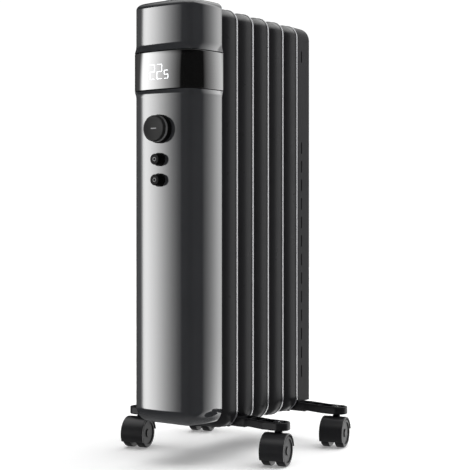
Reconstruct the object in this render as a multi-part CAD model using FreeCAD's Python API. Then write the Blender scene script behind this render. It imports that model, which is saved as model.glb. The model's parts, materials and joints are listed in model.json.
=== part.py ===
"""Oil filled radiator heater: slim control housing in front, pressed steel oil fins behind it, a slotted
rear cover, and two cross feet on twin wheel swivel casters.

Frame: millimetres, +Z up, the front of the heater faces -Y, the floor is Z = 0, and the origin is on the
floor, halfway between the knob's face and the back of the rear cover.
"""

import FreeCAD
import Part
import math
import os

V = FreeCAD.Vector

# ---- driving dimensions -----------------------------------------------------------------------------------
HALF_DEPTH = 157.5            # knob face to origin, and origin to the back of the rear cover

# fins
FIN_COUNT = 6                 # five in the open, the sixth inside the rear cover
FIN_PITCH = 40.0
FIN_HALF_WIDTH = 55.8
FIN_TOP = 624.4
FIN_BOTTOM = 44.8
FIN_TOP_CORNER = 19.0
FIN_BOTTOM_CORNER = 25.0
FIN_BEND_IN = 17.0            # the pan's front edge sweeps in by this much
FIN_BEND_DEEP = 26.0          # over this depth
FIN_SHEET = 0.8
FIN_SETBACK = 4.5             # front plane of a fin behind the rim before it
RIM_PROUD = 0.6
RIM_WIDTH = 4.0
HIDDEN_FIN_DEPTH = 24.0

# oil circuit
UPPER_HEADER_Z = 575.0
LOWER_HEADER_Z = 104.0
HEADER_RADIUS = 18.0
HEADER_BORE = 14.0
CHANNEL_HALF_WIDTH = 42.0
CHANNEL_PITCH = 28.0
CHANNEL_HALF_RUN = 9.0
CHANNEL_DEPTH = 12.0          # how far the rear sheet bulges behind the pan's sheet
ELEMENT_RADIUS = 3.5          # tubular heating elements
ELEMENT_OFFSET = 7.0

# control housing
CASE_REAR = -81.5
CASE_FRONT = -143.0           # at the middle of the crowned front
CASE_HALF_WIDTH = 58.4        # at the flat back
CASE_SIDE_RADIUS = 134.0      # the sides bow outwards
CASE_CORNER = 13.0
CASE_FRONT_RADIUS = 260.0     # the front's crown
CASE_WALL = 2.4
CASE_BOTTOM = 57.0
CASE_ROUND_IN = 16.0          # the rounded bottom, inwards and upwards
CASE_ROUND_UP = 22.0
CASE_TOP = 627.4
CAP_ROUND_IN = 11.0           # the cap's rounded top, inwards and downwards
CAP_ROUND_DOWN = 9.0
ROUND_STEPS = 8
BAND_BOTTOM = 507.6
BAND_TOP = 558.4
BAND_PROUD = 2.0
BAND_WALL = 2.6
BAND_GAP = 1.0
CAP_FLARE = 11.0              # height over which the cap flares out to meet the band
HOUSING_FLARE = 9.0
FLARE_STEPS = 4
LIP_ARCH_HALF = 40.0          # shallow arch in the middle of the housing's bottom edge
LIP_ARCH_RISE = 2.0
PLATE_THICK = 1.5
PLATE_GAP = 0.3               # around the back plate, in the mouth of the housing
PLATE_HALF_WIDTH = CASE_HALF_WIDTH - CASE_WALL - PLATE_GAP
PLATE_BOTTOM = CASE_BOTTOM + 4.0
PLATE_TOP = CASE_TOP - 9.0
PLATE_TOP_CORNER = 14.0
PLATE_BOTTOM_CORNER = 16.0
SCREW_X = 51.0
SCREW_RADIUS = 1.5
POST_DEPTH = 14.0
POST_HALF_HEIGHT = 4.5
HOUSING_SCREWS_Z = (92.0, 280.0, 470.0)
CAP_SCREWS_Z = (590.0,)
INLET_Y = -104.0
INLET_Z = 106.0
INLET_BUSH_RADIUS = 9.0
INLET_HOLE_RADIUS = 6.0
INLET_BORE_RADIUS = 3.6

# controls, all on the centre line of the front
KNOB_Z = 454.3
KNOB_RADIUS = 17.5
KNOB_COLLAR_RADIUS = 19.25
KNOB_PLAY = 0.35              # between the knob and its collar's recess
KNOB_COLLAR_PROUD = 4.4
KNOB_BACK = CASE_FRONT - 3.5   # clear of the front by more than the push travel
KNOB_SPIGOT_RADIUS = 14.0
BUTTON_Z = {"mode_button": 413.4, "power_button": 385.9}
BUTTON_RADIUS = 7.35
BUTTON_COLLAR_RADIUS = 8.9
BUTTON_SPIGOT_RADIUS = 8.2
BUTTON_PROUD = 12.0
BUTTON_COLLAR_PROUD = 4.2
RUNNING_FIT = 0.05
BOARD_FRONT = -122.0
BOARD_THICK = 1.6
POWER_Y = CASE_REAR - PLATE_THICK - 9.0

# display: three lit figures behind the band
DIGIT_BOTTOM = 521.0
DIGIT_WIDTH = 9.6
DIGIT_HEIGHT = 20.0
SMALL_DIGIT_WIDTH = 6.6
SMALL_DIGIT_HEIGHT = 12.5
DIGIT_SEGMENTS = {"2": "abged", "5": "afgcd"}

# carry handle in the cap
GRIP_HALF_SPAN = 37.0
GRIP_RISE = 12.0
GRIP_HALF_WIDTH = 6.5
GRIP_THICK = 6.0
GRIP_CENTRE_Y = -97.0
GRIP_FOOT_DROP = 8.0          # its ends reach this far below the cap's top
WELL_DEPTH = 24.0
WELL_HALF_WIDTH = 42.0
WELL_FRONT = -118.0
WELL_REAR = -85.5
WELL_CORNER = 8.0
WELL_WALL = 2.0

# rear cover
COVER_FRONT = 121.3
COVER_HALF_WIDTH = 56.6
COVER_TOP = 625.0
COVER_BOTTOM = 59.5
COVER_CORNER = 20.0
COVER_EDGE_ROUND = 5.0
COVER_SHEET = 1.0
SLOT_Y = 131.5
SLOT_WIDTH = 2.6
SLOT_LENGTH = 18.0
SLOT_PITCH = 28.0
SLOT_FIRST_Z = 105.0
SLOT_COUNT = 13
SLOT_TOP_Z = 578.5
BACK_SLOT_COLUMNS = 5
BACK_SLOT_ROWS = 13
COVER_SCREWS = [(-44.0, 96.0), (44.0, 96.0), (-44.0, 596.0), (44.0, 596.0)]
COVER_SCREW_RADIUS = 2.0
COVER_SCREW_SINK = 1.6        # the heads lie flush with the cover's back
COVER_POST_RADIUS = 6.0

# feet and casters
FOOT_Y = {"front_foot": -34.5, "rear_foot": 126.5}
FOOT_BOTTOM = 47.6
FOOT_TOP = 58.5
FOOT_LOBE_RADIUS = 13.0
FOOT_HALF_LENGTH = 136.0
FOOT_BAR_FRONT = -4.0         # the bar between the fins, from the lobe's centre line
FOOT_BAR_REAR = 21.0
FOOT_BAR_HALF = 66.0
STEM_X = 119.6
STEM_RADIUS = 3.0
U_BOLT_BACK = 15.0            # behind the lobe's centre line
U_BOLT_RADIUS = 2.5
U_BOLT_REACH = HEADER_RADIUS + U_BOLT_RADIUS + 0.2
WING_NUT_HEIGHT = 5.0
AXLE_Z = 21.0
WHEEL_RADIUS = 21.0
WHEEL_INNER = 4.7
WHEEL_OUTER = 16.9
CASTER_TRAIL = 8.0
HOOD_RADIUS = 23.5
HOOD_SHELL = 1.9
HOOD_HALF_WIDTH = 17.5
HOOD_WEB_HALF = 4.3
HOOD_LIP_Z = 10.0
AXLE_RADIUS = 2.5
CASTER_REST_TURN = 12.0       # degrees, the way the casters have swung at rest
CASTERS = {
    "front_right": (STEM_X, FOOT_Y["front_foot"]),
    "front_left": (-STEM_X, FOOT_Y["front_foot"]),
    "rear_right": (STEM_X, FOOT_Y["rear_foot"]),
    "rear_left": (-STEM_X, FOOT_Y["rear_foot"]),
}

TINY = 1e-6
X_AXIS = V(1, 0, 0)
Y_AXIS = V(0, 1, 0)
Z_AXIS = V(0, 0, 1)


# ---- helpers ----------------------------------------------------------------------------------------------
def box(x0, x1, y0, y1, z0, z1):
    return Part.makeBox(x1 - x0, y1 - y0, z1 - z0, V(x0, y0, z0))


def rod_y(x, z, radius, y0, y1):
    """A cylinder along +Y from y0 to y1."""
    return Part.makeCylinder(radius, y1 - y0, V(x, y0, z), Y_AXIS)


def rod_x(y, z, radius, x0, x1):
    return Part.makeCylinder(radius, x1 - x0, V(x0, y, z), X_AXIS)


def rod_z(x, y, radius, z0, z1):
    return Part.makeCylinder(radius, z1 - z0, V(x, y, z0), Z_AXIS)


def fused(shapes):
    first, rest = shapes[0], list(shapes[1:])
    whole = first.multiFuse(rest) if rest else first
    return whole.removeSplitter()


def cut_all(shape, tools):
    return shape.cut(Part.makeCompound(list(tools)))


def stretched(shape, factor_y=1.0, factor_z=1.0):
    """The shape scaled along Y and Z about the origin."""
    matrix = FreeCAD.Matrix()
    matrix.scale(1.0, factor_y, factor_z)
    return shape.transformGeometry(matrix)


def moved(shape, x=0.0, y=0.0, z=0.0):
    copy = shape.copy()
    copy.translate(V(x, y, z))
    return copy


def edges_at(shape, test):
    """Edges whose ends and middle all pass the test on their point."""
    found = []
    for edge in shape.Edges:
        first, last = edge.FirstParameter, edge.LastParameter
        points = [edge.valueAt(first + (last - first) * share) for share in (0.0, 0.5, 1.0)]
        if all(test(p) for p in points):
            found.append(edge)
    return found


def export(name, *solids):
    shape = solids[0] if len(solids) == 1 else Part.makeCompound(list(solids))
    if shape.ShapeType == "Compound" and len(shape.Solids) == 1:
        shape = shape.Solids[0]
    shape.exportStep(f"parts/{name}.step")
    print(f"{name}: {len(shape.Solids)} solids, valid {shape.isValid()}, {shape.Volume / 1000:.1f} cm3")


# ---- fins -------------------------------------------------------------------------------------------------
def rounded_panel(half_width, z0, z1, top_corner, bottom_corner, y0, y1):
    """A slab in the X-Z plane with rounded corners, from y0 to y1."""
    w = half_width
    diagonal = math.sqrt(0.5)

    def arc(cx, cz, radius, sx, sz):
        start = V(cx + sx * radius, y0, cz)
        middle = V(cx + sx * radius * diagonal, y0, cz + sz * radius * diagonal)
        end = V(cx, y0, cz + sz * radius)
        return start, middle, end

    tr = arc(w - top_corner, z1 - top_corner, top_corner, 1, 1)
    tl = arc(top_corner - w, z1 - top_corner, top_corner, -1, 1)
    bl = arc(bottom_corner - w, z0 + bottom_corner, bottom_corner, -1, -1)
    br = arc(w - bottom_corner, z0 + bottom_corner, bottom_corner, 1, -1)
    edges = [
        Part.LineSegment(br[0], tr[0]).toShape(),
        Part.Arc(*tr).toShape(),
        Part.LineSegment(tr[2], tl[2]).toShape(),
        Part.Arc(tl[2], tl[1], tl[0]).toShape(),
        Part.LineSegment(tl[0], bl[0]).toShape(),
        Part.Arc(*bl).toShape(),
        Part.LineSegment(bl[2], br[2]).toShape(),
        Part.Arc(br[2], br[1], br[0]).toShape(),
    ]
    return Part.Face(Part.Wire(edges)).extrude(V(0, y1 - y0, 0))


def dished(half_width, z0, z1, top_corner, bottom_corner, bend_in, bend_deep, y0, y1):
    """A rounded panel whose front edge is swept back by an elliptical bend."""
    factor = bend_deep / bend_in
    slab = rounded_panel(half_width, z0, z1, top_corner, bottom_corner, 0.0, (y1 - y0) / factor)
    slab = slab.makeFillet(bend_in, edges_at(slab, lambda p: abs(p.y) < TINY))
    return moved(stretched(slab, factor_y=factor), y=y0)


def oil_channels(front, bottom_z, top_z, grow=0.0):
    """The bulges of a fin's rear sheet: two header chambers joined by three upright channels."""
    depth = CHANNEL_DEPTH + grow
    run = CHANNEL_HALF_RUN + grow
    chamber = HEADER_RADIUS + 4.0 + grow
    half = CHANNEL_HALF_WIDTH - 4.0 + grow
    solids = []
    for x in (-CHANNEL_PITCH, 0.0, CHANNEL_PITCH):
        solids.append(box(x - run, x + run, front, front + depth, bottom_z, top_z))
    for z in (bottom_z, top_z):
        solids.append(box(-half, half, front, front + depth, z - chamber, z + chamber))
    bulge = fused(solids)
    rounds = edges_at(bulge, lambda p: p.y > front + depth - TINY)
    return bulge.makeFillet(3.0 + grow, rounds)


def fin(index):
    """Front pan with its rolled rim, and the rear sheet that closes the oil channels behind it."""
    hidden = index == FIN_COUNT
    front = CASE_REAR + FIN_PITCH * (index - 1) + FIN_SETBACK
    if hidden:
        half_width, bottom, top = FIN_HALF_WIDTH - 4.0, COVER_BOTTOM + 3.0, FIN_TOP - 5.0
        rear = front + HIDDEN_FIN_DEPTH
        corner_top = corner_bottom = 16.0
        bend_in, bend_deep = 12.0, 16.0
    else:
        half_width, bottom, top = FIN_HALF_WIDTH, FIN_BOTTOM, FIN_TOP
        rear = CASE_REAR + FIN_PITCH * index + RIM_WIDTH / 2
        corner_top, corner_bottom = FIN_TOP_CORNER, FIN_BOTTOM_CORNER
        bend_in, bend_deep = FIN_BEND_IN, FIN_BEND_DEEP
    t = FIN_SHEET
    outer = dished(half_width, bottom, top, corner_top, corner_bottom, bend_in, bend_deep, front, rear)
    inner = dished(half_width - t, bottom + t, top - t, corner_top - t, corner_bottom - t,
                   bend_in - t, bend_deep - t, front + t, rear + 1.0)
    pan = outer.cut(inner)
    if not hidden:
        rim_front = rear - RIM_WIDTH
        p = RIM_PROUD
        rim = rounded_panel(half_width + p, bottom - p, top + p, corner_top + p, corner_bottom + p,
                            rim_front, rear)
        rim = rim.makeFillet(p * 0.9, edges_at(rim, lambda q: abs(q.y - rim_front) < TINY
                                               or abs(q.y - rear) < TINY))
        core = rounded_panel(half_width - t / 2, bottom + t / 2, top - t / 2, corner_top - t / 2,
                             corner_bottom - t / 2, rim_front - 1.0, rear + 1.0)
        pan = fused([pan, rim.cut(core)])
    headers = (LOWER_HEADER_Z, UPPER_HEADER_Z)
    pan = cut_all(pan, [rod_y(0, z, HEADER_BORE, front - 1, front + t + 1) for z in headers])
    sheet_front = front + t
    flange = box(-CHANNEL_HALF_WIDTH, CHANNEL_HALF_WIDTH, sheet_front, sheet_front + t,
                 LOWER_HEADER_Z - 28, UPPER_HEADER_Z + 28)
    shell = fused([flange, oil_channels(sheet_front, LOWER_HEADER_Z, UPPER_HEADER_Z)])
    sheet = shell.cut(oil_channels(sheet_front - 0.001, LOWER_HEADER_Z, UPPER_HEADER_Z, grow=-t))
    back = sheet_front + CHANNEL_DEPTH
    openings = headers if not hidden else (LOWER_HEADER_Z,)
    sheet = cut_all(sheet, [rod_y(0, z, HEADER_BORE, back - t - 1, back + 1) for z in openings])
    if index == 2:
        foot = FOOT_Y["front_foot"]
        pan = pan.cut(box(-80, 80, front - 5, foot + FOOT_BAR_REAR + 1.0, 0, FOOT_TOP + 1.0))
    if hidden:
        foot = FOOT_Y["rear_foot"]
        pan = pan.cut(box(-26, 26, foot + U_BOLT_BACK - 4.0, rear + 1, 0, bottom + 20))
    return pan, sheet


def fin_front(index):
    return CASE_REAR + FIN_PITCH * (index - 1) + FIN_SETBACK


def header_collars():
    """Short tubes welded between neighbouring fins, and the closed stub behind the last one."""
    tubes = []
    for index in range(1, FIN_COUNT):
        start = fin_front(index) + FIN_SHEET + CHANNEL_DEPTH
        end = fin_front(index + 1)
        for z in (LOWER_HEADER_Z, UPPER_HEADER_Z):
            outer = rod_y(0, z, HEADER_RADIUS, start, end)
            tubes.append(outer.cut(rod_y(0, z, HEADER_BORE, start - 1, end + 1)))
    start = fin_front(FIN_COUNT) + FIN_SHEET + CHANNEL_DEPTH
    stub = rod_y(0, LOWER_HEADER_Z, HEADER_RADIUS, start, start + 10.0)
    tubes.append(stub.cut(rod_y(0, LOWER_HEADER_Z, HEADER_BORE, start - 1, start + 8.0)))
    front = fin_front(1)
    neck = rod_y(0, LOWER_HEADER_Z, HEADER_RADIUS + 2, CASE_REAR - 6.0, front)
    tubes.append(neck.cut(rod_y(0, LOWER_HEADER_Z, HEADER_BORE, CASE_REAR - 7.0, front + 1)))
    return tubes


def filler_plug():
    """Crimped plug that seals the last fin's upper chamber once the oil is in."""
    start = fin_front(FIN_COUNT) + FIN_SHEET + CHANNEL_DEPTH
    disc = rod_y(0, UPPER_HEADER_Z, 9.0, start, start + 2.0)
    boss = rod_y(0, UPPER_HEADER_Z, 5.0, start + 2.0, start + 7.0)
    body = fused([disc, boss])
    return body.makeChamfer(0.8, edges_at(body, lambda p: p.y > start + 7.0 - TINY))


def heating_elements():
    """Two hairpin tubes, one above the other, that lie in the lower header."""
    start = CASE_REAR - 14.0
    reach = fin_front(5) + 4.0
    hairpins = []
    for z in (LOWER_HEADER_Z - 5.0, LOWER_HEADER_Z + 5.0):
        left = rod_y(-ELEMENT_OFFSET, z, ELEMENT_RADIUS, start, reach)
        right = rod_y(ELEMENT_OFFSET, z, ELEMENT_RADIUS, start, reach)
        bend = Part.makeTorus(ELEMENT_OFFSET, ELEMENT_RADIUS, V(0, reach, z), Z_AXIS)
        bend = bend.common(box(-20, 20, reach, reach + 20, z - 10, z + 10))
        hairpins.append(fused([left, right, bend]))
    return hairpins


def element_holes():
    return [rod_y(x, LOWER_HEADER_Z + dz, ELEMENT_RADIUS, CASE_REAR - 20, CASE_REAR + 10)
            for x in (-ELEMENT_OFFSET, ELEMENT_OFFSET) for dz in (-5.0, 5.0)]


def heater_flange():
    """Screwed plug that carries the elements into the lower header."""
    hexagon = Part.Face(Part.makePolygon([
        V(21 * math.cos(math.radians(60 * k)), 0, 21 * math.sin(math.radians(60 * k))) for k in range(7)]))
    head = moved(hexagon.extrude(V(0, -4.5, 0)), y=CASE_REAR - 7.2, z=LOWER_HEADER_Z)
    return cut_all(head, element_holes())


def heater_gasket():
    ring = rod_y(0, LOWER_HEADER_Z, 19.5, CASE_REAR - 7.2, CASE_REAR - 6.0)
    return ring.cut(rod_y(0, LOWER_HEADER_Z, 14.5, CASE_REAR - 8, CASE_REAR - 5))


# ---- control housing --------------------------------------------------------------------------------------
def case_arcs():
    """Centre of the corner arc, and the angles from -Y where it meets the front's and the side's arcs.

    The front's arc is centred on X = 0, the side's arc on the flat back, and the corner touches both from
    inside, so its centre is where two circles cross.
    """
    front_y = CASE_FRONT + CASE_FRONT_RADIUS
    side_x = CASE_HALF_WIDTH - CASE_SIDE_RADIUS
    to_front = CASE_FRONT_RADIUS - CASE_CORNER
    to_side = CASE_SIDE_RADIUS - CASE_CORNER
    dx, dy = -side_x, front_y - CASE_REAR
    span = math.hypot(dx, dy)
    along = (to_side ** 2 - to_front ** 2 + span ** 2) / (2 * span)
    across = math.sqrt(to_side ** 2 - along ** 2)
    x = side_x + (along * dx + across * dy) / span
    y = CASE_REAR + (along * dy - across * dx) / span
    return x, y, math.atan2(x, front_y - y), math.atan2(x - side_x, CASE_REAR - y)


def case_outline(offset, z, scale=1.0):
    """The housing's outline at height z: flat back, bowed sides, round corners, crowned front.

    The scale shrinks it towards the middle of its back.
    """
    corner_x, corner_y, front_turn, side_turn = case_arcs()

    def point(side, centre_x, centre_y, radius, turn):
        x = centre_x + (radius + offset) * math.sin(turn)
        y = centre_y - (radius + offset) * math.cos(turn)
        return V(side * x * scale, CASE_REAR + (y - CASE_REAR) * scale, z)

    def on_front(side, turn):
        return point(side, 0.0, CASE_FRONT + CASE_FRONT_RADIUS, CASE_FRONT_RADIUS, turn)

    def corner_arc(side):
        ends = [point(side, corner_x, corner_y, CASE_CORNER, turn)
                for turn in (front_turn, (front_turn + side_turn) / 2, side_turn)]
        return Part.Arc(*ends[::side]).toShape()

    def on_side(side, turn):
        return point(side, CASE_HALF_WIDTH - CASE_SIDE_RADIUS, CASE_REAR, CASE_SIDE_RADIUS, turn)

    back = math.pi / 2
    side_middle = (side_turn + back) / 2
    edges = [
        Part.Arc(on_side(-1, back), on_side(-1, side_middle), on_side(-1, side_turn)).toShape(),
        corner_arc(-1),
        Part.Arc(on_front(-1, front_turn), on_front(1, 0.0), on_front(1, front_turn)).toShape(),
        corner_arc(1),
        Part.Arc(on_side(1, side_turn), on_side(1, side_middle), on_side(1, back)).toShape(),
        Part.LineSegment(on_side(1, back), on_side(-1, back)).toShape(),
    ]
    return Part.Wire(edges)


def case_prism(offset, z0, z1):
    return Part.Face(case_outline(offset, z0)).extrude(V(0, 0, z1 - z0))


def case_flare(offset, z0, z1, proud_low, proud_high):
    """A stretch of the housing that swells smoothly from one offset to the other."""
    wires = []
    for step in range(FLARE_STEPS + 1):
        share = step / FLARE_STEPS
        ease = (1 - math.cos(math.pi * share)) / 2
        proud = proud_low + (proud_high - proud_low) * ease
        wires.append(case_outline(offset + proud, z0 + (z1 - z0) * share))
    return Part.makeLoft(wires, True, False)


def case_end(offset, z_start, z_end, round_in):
    """A rounded end: the outline shrinks along a quarter ellipse from z_start to z_end."""
    wires = []
    for step in range(ROUND_STEPS + 1):
        turn = math.pi / 2 * step / ROUND_STEPS
        inset = round_in * (1 - math.cos(turn))
        wires.append(case_outline(offset, z_start + (z_end - z_start) * math.sin(turn),
                                  1.0 - inset / CASE_HALF_WIDTH))
    return Part.makeLoft(wires, True, False)


def front_edges(shape, z):
    """The outline's edges at height z, leaving out the straight one along the flat back."""
    def at_height(p):
        return abs(p.z - z) < TINY
    return [e for e in edges_at(shape, at_height)
            if not all(abs(v.Point.y - CASE_REAR) < TINY for v in e.Vertexes)]


def plate_form(grow, y0, y1):
    """The back plate's outline, or the mouth it closes when it is grown by the gap."""
    return rounded_panel(PLATE_HALF_WIDTH + grow, PLATE_BOTTOM - grow, PLATE_TOP + grow,
                         PLATE_TOP_CORNER + grow, PLATE_BOTTOM_CORNER + grow, y0, y1)


def case_mouth():
    """Opening in the back of the cap, the band and the lower housing."""
    return plate_form(PLATE_GAP, CASE_REAR - 2 * CASE_WALL, CASE_REAR + 1)


def screw_posts(heights):
    """Screw posts on both side walls, open to the back."""
    posts = []
    inner, outer = SCREW_X - POST_HALF_HEIGHT, CASE_HALF_WIDTH - CASE_WALL + 0.5
    rear = CASE_REAR - PLATE_THICK
    for z in heights:
        low, high = z - POST_HALF_HEIGHT, z + POST_HALF_HEIGHT
        posts.append(box(inner, outer, rear - POST_DEPTH, rear, low, high))
        posts.append(box(-outer, -inner, rear - POST_DEPTH, rear, low, high))
    return posts


def screw_bores(heights):
    return [rod_y(side * SCREW_X, z, SCREW_RADIUS, CASE_REAR - POST_DEPTH + 1, CASE_REAR + 1)
            for side in (-1, 1) for z in heights]


def cap_form(offset):
    """Outer form of the cap, or its inside with a negative offset."""
    base = BAND_TOP + BAND_GAP
    neck = base + CAP_FLARE
    shoulder = CASE_TOP - CAP_ROUND_DOWN
    flare = case_flare(offset, base, neck, BAND_PROUD, 0.0)
    return fused([flare, case_prism(offset, neck, shoulder),
                  case_end(offset, shoulder, CASE_TOP + offset, CAP_ROUND_IN)])


def handle_well(grow):
    """The hollow under the carry handle."""
    x = WELL_HALF_WIDTH + grow
    well = box(-x, x, WELL_FRONT - grow, WELL_REAR + grow, CASE_TOP - WELL_DEPTH - grow, CASE_TOP + 5)
    upright = [e for e in well.Edges if abs(e.tangentAt(e.FirstParameter).z) > 0.99]
    return well.makeFillet(WELL_CORNER + grow, upright)


def top_cap():
    base = BAND_TOP + BAND_GAP
    outer = cap_form(0.0)
    below = case_prism(BAND_PROUD - CASE_WALL, base - 1.0, base)
    inner = fused([cap_form(-CASE_WALL), below, case_mouth()])
    tub = handle_well(WELL_WALL).common(outer)
    shell = fused([outer.cut(inner), tub] + [p.common(outer) for p in screw_posts(CAP_SCREWS_Z)])
    return cut_all(shell, [handle_well(0.0)] + screw_bores(CAP_SCREWS_Z))


def carry_handle():
    """Arched grip that bridges the well in the cap."""
    foot_z = CASE_TOP - GRIP_FOOT_DROP
    rise = GRIP_RISE + GRIP_FOOT_DROP
    front, rear = GRIP_CENTRE_Y - GRIP_HALF_WIDTH, GRIP_CENTRE_Y + GRIP_HALF_WIDTH

    def arch(top, half):
        return Part.Arc(V(-half, front, foot_z), V(0, front, foot_z + top), V(half, front, foot_z)).toShape()

    outside, inside = WELL_HALF_WIDTH, GRIP_HALF_SPAN
    ends = [Part.LineSegment(V(s * outside, front, foot_z), V(s * inside, front, foot_z)).toShape()
            for s in (-1, 1)]
    outline = Part.__sortEdges__([arch(rise, outside), arch(rise - GRIP_THICK, inside)] + ends)
    grip = Part.Face(Part.Wire(outline)).extrude(V(0, 2 * GRIP_HALF_WIDTH, 0))
    long_edges = [e for e in grip.Edges if e.Curve.TypeId == "Part::GeomCircle"
                  and min(abs(e.Vertexes[0].Point.y - y) for y in (front, rear)) < TINY]
    return grip.makeFillet(1.6, long_edges)


def display_band():
    outer = case_prism(BAND_PROUD, BAND_BOTTOM, BAND_TOP)
    rim = [e for z in (BAND_BOTTOM, BAND_TOP) for e in front_edges(outer, z)]
    outer = outer.makeFillet(0.5, rim)
    inner = case_prism(BAND_PROUD - BAND_WALL, BAND_BOTTOM - 1, BAND_TOP + 1)
    return outer.cut(inner.fuse(case_mouth()))


def button_holes():
    holes = [rod_y(0, KNOB_Z, KNOB_SPIGOT_RADIUS, CASE_FRONT - 5, CASE_FRONT + 8)]
    return holes + [rod_y(0, z, BUTTON_SPIGOT_RADIUS, CASE_FRONT - 5, CASE_FRONT + 8)
                    for z in BUTTON_Z.values()]


def housing_form(offset):
    """Outer form of the lower housing, or its inside with a negative offset."""
    top = BAND_BOTTOM - BAND_GAP
    neck = top - HOUSING_FLARE
    shoulder = CASE_BOTTOM + CASE_ROUND_UP
    return fused([case_end(offset, shoulder, CASE_BOTTOM - offset, CASE_ROUND_IN),
                  case_prism(offset, shoulder, neck),
                  case_flare(offset, neck, top, 0.0, BAND_PROUD)])


def lip_arch():
    """Cutter for the shallow arch in the housing's bottom edge."""
    radius = (LIP_ARCH_HALF ** 2 + LIP_ARCH_RISE ** 2) / (2 * LIP_ARCH_RISE)
    arch = rod_y(0, CASE_BOTTOM + LIP_ARCH_RISE - radius, radius, CASE_FRONT - 5, CASE_REAR - 12)
    return arch.common(box(-60, 60, CASE_FRONT - 6, CASE_REAR, CASE_BOTTOM - 1, CASE_BOTTOM + 5))


def lower_housing():
    top = BAND_BOTTOM - BAND_GAP
    outer = housing_form(0.0)
    above = case_prism(BAND_PROUD - CASE_WALL, top, top + 1.0)
    shell = outer.cut(fused([housing_form(-CASE_WALL), above, case_mouth()]))
    shell = fused([shell] + [p.common(outer) for p in screw_posts(HOUSING_SCREWS_Z)])
    gland = rod_x(INLET_Y, INLET_Z, INLET_HOLE_RADIUS, -CASE_HALF_WIDTH - 1, -CASE_HALF_WIDTH + 8)
    return cut_all(shell, button_holes() + screw_bores(HOUSING_SCREWS_Z) + [gland, lip_arch()])


def cable_inlet():
    """Bush for the supply lead, on the housing's left side."""
    x = -CASE_HALF_WIDTH
    flange = rod_x(INLET_Y, INLET_Z, INLET_BUSH_RADIUS, x - 2.5, x + 4.0).cut(housing_form(0.0))
    flange = flange.makeFillet(1.0, edges_at(flange, lambda p: p.x < x - 2.5 + TINY))
    bush = fused([flange, rod_x(INLET_Y, INLET_Z, INLET_HOLE_RADIUS, x, x + 7.0)])
    return bush.cut(rod_x(INLET_Y, INLET_Z, INLET_BORE_RADIUS, x - 5, x + 8))


def back_plate():
    plate = plate_form(0.0, CASE_REAR - PLATE_THICK, CASE_REAR)
    cuts = [rod_y(0, LOWER_HEADER_Z, HEADER_RADIUS + 2.3, CASE_REAR - 5, CASE_REAR + 1)]
    cuts += [rod_y(side * SCREW_X, z, SCREW_RADIUS + 0.2, CASE_REAR - 5, CASE_REAR + 1)
             for side in (-1, 1) for z in HOUSING_SCREWS_Z + CAP_SCREWS_Z]
    for row in range(6):
        z = 160.0 + 22.0 * row
        cuts.append(box(-24, 24, CASE_REAR - 5, CASE_REAR + 1, z, z + 5.0))
    return cut_all(plate, cuts)


def pan_screw(x, z, y_seat, length, radius=SCREW_RADIUS):
    """Screw with a domed, cross-slotted head that stands on y_seat, and its shank in front of it."""
    head = rod_y(x, z, radius * 2.0, y_seat, y_seat + 1.6)
    head = head.makeFillet(0.7, edges_at(head, lambda p: p.y > y_seat + 1.6 - TINY))
    screw = fused([head, rod_y(x, z, radius, y_seat - length, y_seat)])
    drive = box(x - 1.6, x + 1.6, y_seat + 0.9, y_seat + 2.0, z - 0.3, z + 0.3)
    return cut_all(screw, [drive, box(x - 0.3, x + 0.3, y_seat + 0.9, y_seat + 2.0, z - 1.6, z + 1.6)])


def housing_screws():
    return [pan_screw(side * SCREW_X, z, CASE_REAR, 12.0) for side in (-1, 1)
            for z in HOUSING_SCREWS_Z + CAP_SCREWS_Z]


# ---- controls ---------------------------------------------------------------------------------------------
def seat():
    """The housing's outer form, which the collars are cut to sit on."""
    return case_prism(0.0, BUTTON_Z["power_button"] - 40, KNOB_Z + 40)


def knob_collar():
    front = CASE_FRONT - KNOB_COLLAR_PROUD
    ring = rod_y(0, KNOB_Z, KNOB_COLLAR_RADIUS, front, CASE_FRONT + 2).cut(seat())
    ring = ring.makeFillet(0.8, edges_at(ring, lambda p: p.y < front + TINY))
    spigot = rod_y(0, KNOB_Z, KNOB_SPIGOT_RADIUS, CASE_FRONT - 0.6, CASE_FRONT + 4.5)
    recess = rod_y(0, KNOB_Z, KNOB_RADIUS + KNOB_PLAY, front - 1, CASE_FRONT - 0.6)
    bore = rod_y(0, KNOB_Z, STEM_RADIUS + 0.6, front - 1, CASE_FRONT + 8)
    return cut_all(fused([ring, spigot]), [recess, bore])


def knob():
    face = -HALF_DEPTH
    body = rod_y(0, KNOB_Z, KNOB_RADIUS, face, KNOB_BACK)
    body = body.makeFillet(1.4, edges_at(body, lambda p: p.y < face + TINY))
    dish = Part.makeSphere(160.0, V(0, face - 160.0 + 0.7, KNOB_Z))
    return cut_all(body, [dish, rod_y(0, KNOB_Z, STEM_RADIUS, face + 6.0, KNOB_BACK + 1)])


def encoder_shaft():
    return rod_y(0, KNOB_Z, STEM_RADIUS, -HALF_DEPTH + 6.0, BOARD_FRONT - 4.0)


def encoder_slider():
    """The little plunger under the shaft that closes the push contact."""
    return rod_y(0, KNOB_Z, 2.4, BOARD_FRONT - 4.0, BOARD_FRONT - 2.6)


def rotary_encoder():
    case = box(-6.5, 6.5, BOARD_FRONT - 7.5, BOARD_FRONT, KNOB_Z - 6.5, KNOB_Z + 6.5)
    bush = rod_y(0, KNOB_Z, 4.4, BOARD_FRONT - 11.5, BOARD_FRONT - 7.5)
    body = fused([case, bush])
    bore = rod_y(0, KNOB_Z, STEM_RADIUS + RUNNING_FIT, BOARD_FRONT - 13, BOARD_FRONT - 4.6)
    cavity = rod_y(0, KNOB_Z, STEM_RADIUS + 1.2, BOARD_FRONT - 4.6, BOARD_FRONT - 0.8)
    return cut_all(body, [bore, cavity])


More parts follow.
